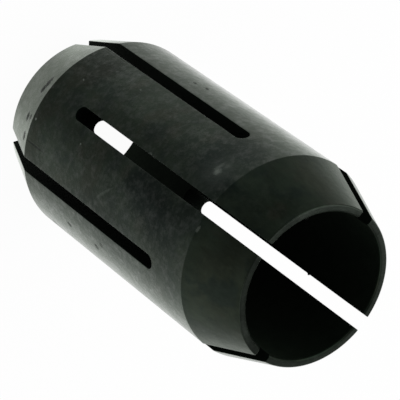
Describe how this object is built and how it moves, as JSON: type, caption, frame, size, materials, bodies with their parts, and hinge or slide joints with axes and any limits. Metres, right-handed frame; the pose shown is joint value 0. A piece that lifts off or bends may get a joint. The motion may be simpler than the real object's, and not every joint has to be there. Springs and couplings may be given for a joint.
{
  "type": "die grinder collet",
  "caption": "Small one-piece steel collet sleeve, tapered at both ends and slotted from both ends, that closes on the round shank of a grinding burr.",
  "frame": {"origin": "centre of the tail face, which the collet stands on", "axes": "+Z along the bore from the tail to the nose; +X through the middle of one nose slot"},
  "size_m": [0.009, 0.009, 0.0179],
  "materials": {
    "blackened_steel": "black oxide over ground spring steel, satin, with light handling marks"
  },
  "bodies": {
    "root": {"collet": "blackened_steel"}
  },
  "joints": []
}
